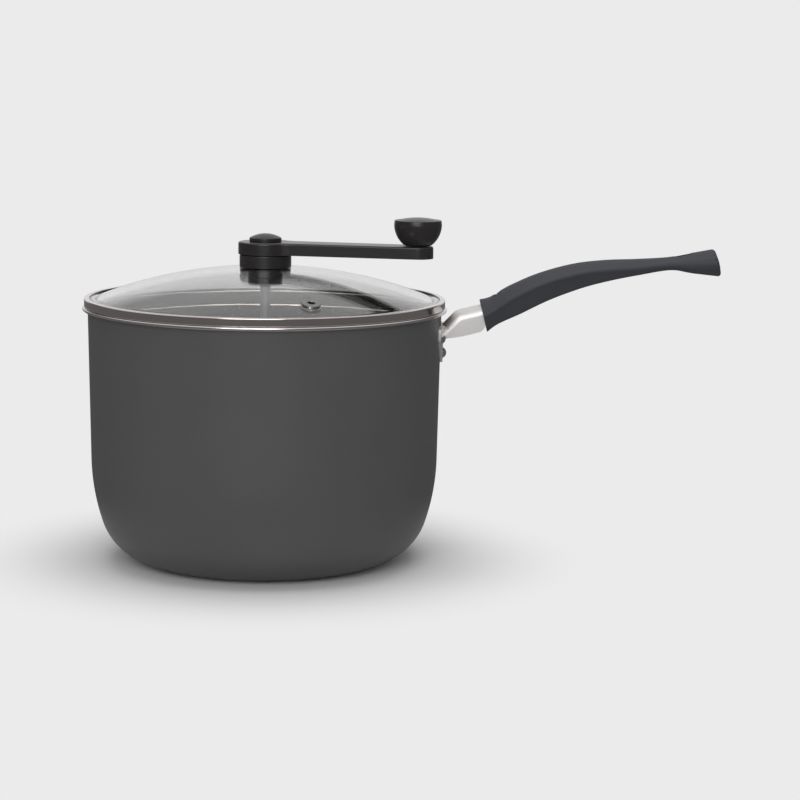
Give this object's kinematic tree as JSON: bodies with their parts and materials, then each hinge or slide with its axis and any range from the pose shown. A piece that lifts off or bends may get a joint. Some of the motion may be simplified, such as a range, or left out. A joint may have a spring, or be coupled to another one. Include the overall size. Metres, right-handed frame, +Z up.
{
  "type": "stovetop popcorn popper",
  "caption": "Deep coated pot with a long moulded handle, a domed glass lid and a hand crank with a knob that turns a wire stirrer.",
  "frame": {"origin": "on the pot's axis, on the flat base that rests on the stove", "axes": "+Z up along the pot's axis, +X towards the end of the long handle, +Y to the left of the handle"},
  "size_m": [0.4042, 0.2308, 0.2212],
  "materials": {
    "pot_body": "aluminium with dark grey non-stick coating, bare machined lip",
    "bracket_steel": "polished stainless sheet",
    "rivet_metal": "bright rivets",
    "grip_plastic": "fine satin moulded phenolic",
    "screw_steel": "zinc plated",
    "lid_glass": "clear tempered glass",
    "band_steel": "rolled stainless band, polished",
    "vent_steel": "rolled stainless eyelet",
    "crank_plastic": "satin moulded nylon",
    "nut_plastic": "satin moulded nylon",
    "gasket_rubber": "silicone rubber",
    "shaft_steel": "matt grey steel",
    "wire_steel": "drawn stainless wire",
    "knob_plastic": "satin moulded nylon"
  },
  "bodies": {
    "pot": {"pot_shell": "pot_body", "handle_bracket": "bracket_steel", "bracket_rivets": "rivet_metal", "handle_grip": "grip_plastic", "handle_screw": "screw_steel"},
    "lid": {"lid_glass": "lid_glass", "lid_rim_band": "band_steel", "steam_vent_eyelet": "vent_steel", "hub_housing": "crank_plastic", "upper_gasket": "gasket_rubber", "lower_gasket": "gasket_rubber", "hub_nut": "nut_plastic"},
    "crank": {"crank_shaft": "shaft_steel", "shaft_clip": "screw_steel", "crank_arm": "crank_plastic", "arm_washer": "screw_steel", "arm_screw": "screw_steel", "hub_cap": "crank_plastic", "knob_spindle": "screw_steel", "spindle_nut": "screw_steel", "stirrer_wire": "wire_steel", "stirrer_hub": "wire_steel", "stirrer_set_screw": "screw_steel"},
    "knob": {"knob": "knob_plastic", "knob_cap": "knob_plastic"}
  },
  "joints": [
    {"name": "lid_lift", "type": "slide", "parent": "pot", "child": "lid", "axis": [0, 0, 1], "range_m": [0, 0.25]},
    {"name": "crank_spin", "type": "hinge", "parent": "lid", "child": "crank", "pos_m": [0, 0, 0.1953], "axis": [0, 0, 1], "continuous": true},
    {"name": "knob_spin", "type": "hinge", "parent": "crank", "child": "knob", "pos_m": [0.09635, -0.02048, 0.2036], "axis": [0, 0, 1], "continuous": true}
  ]
}
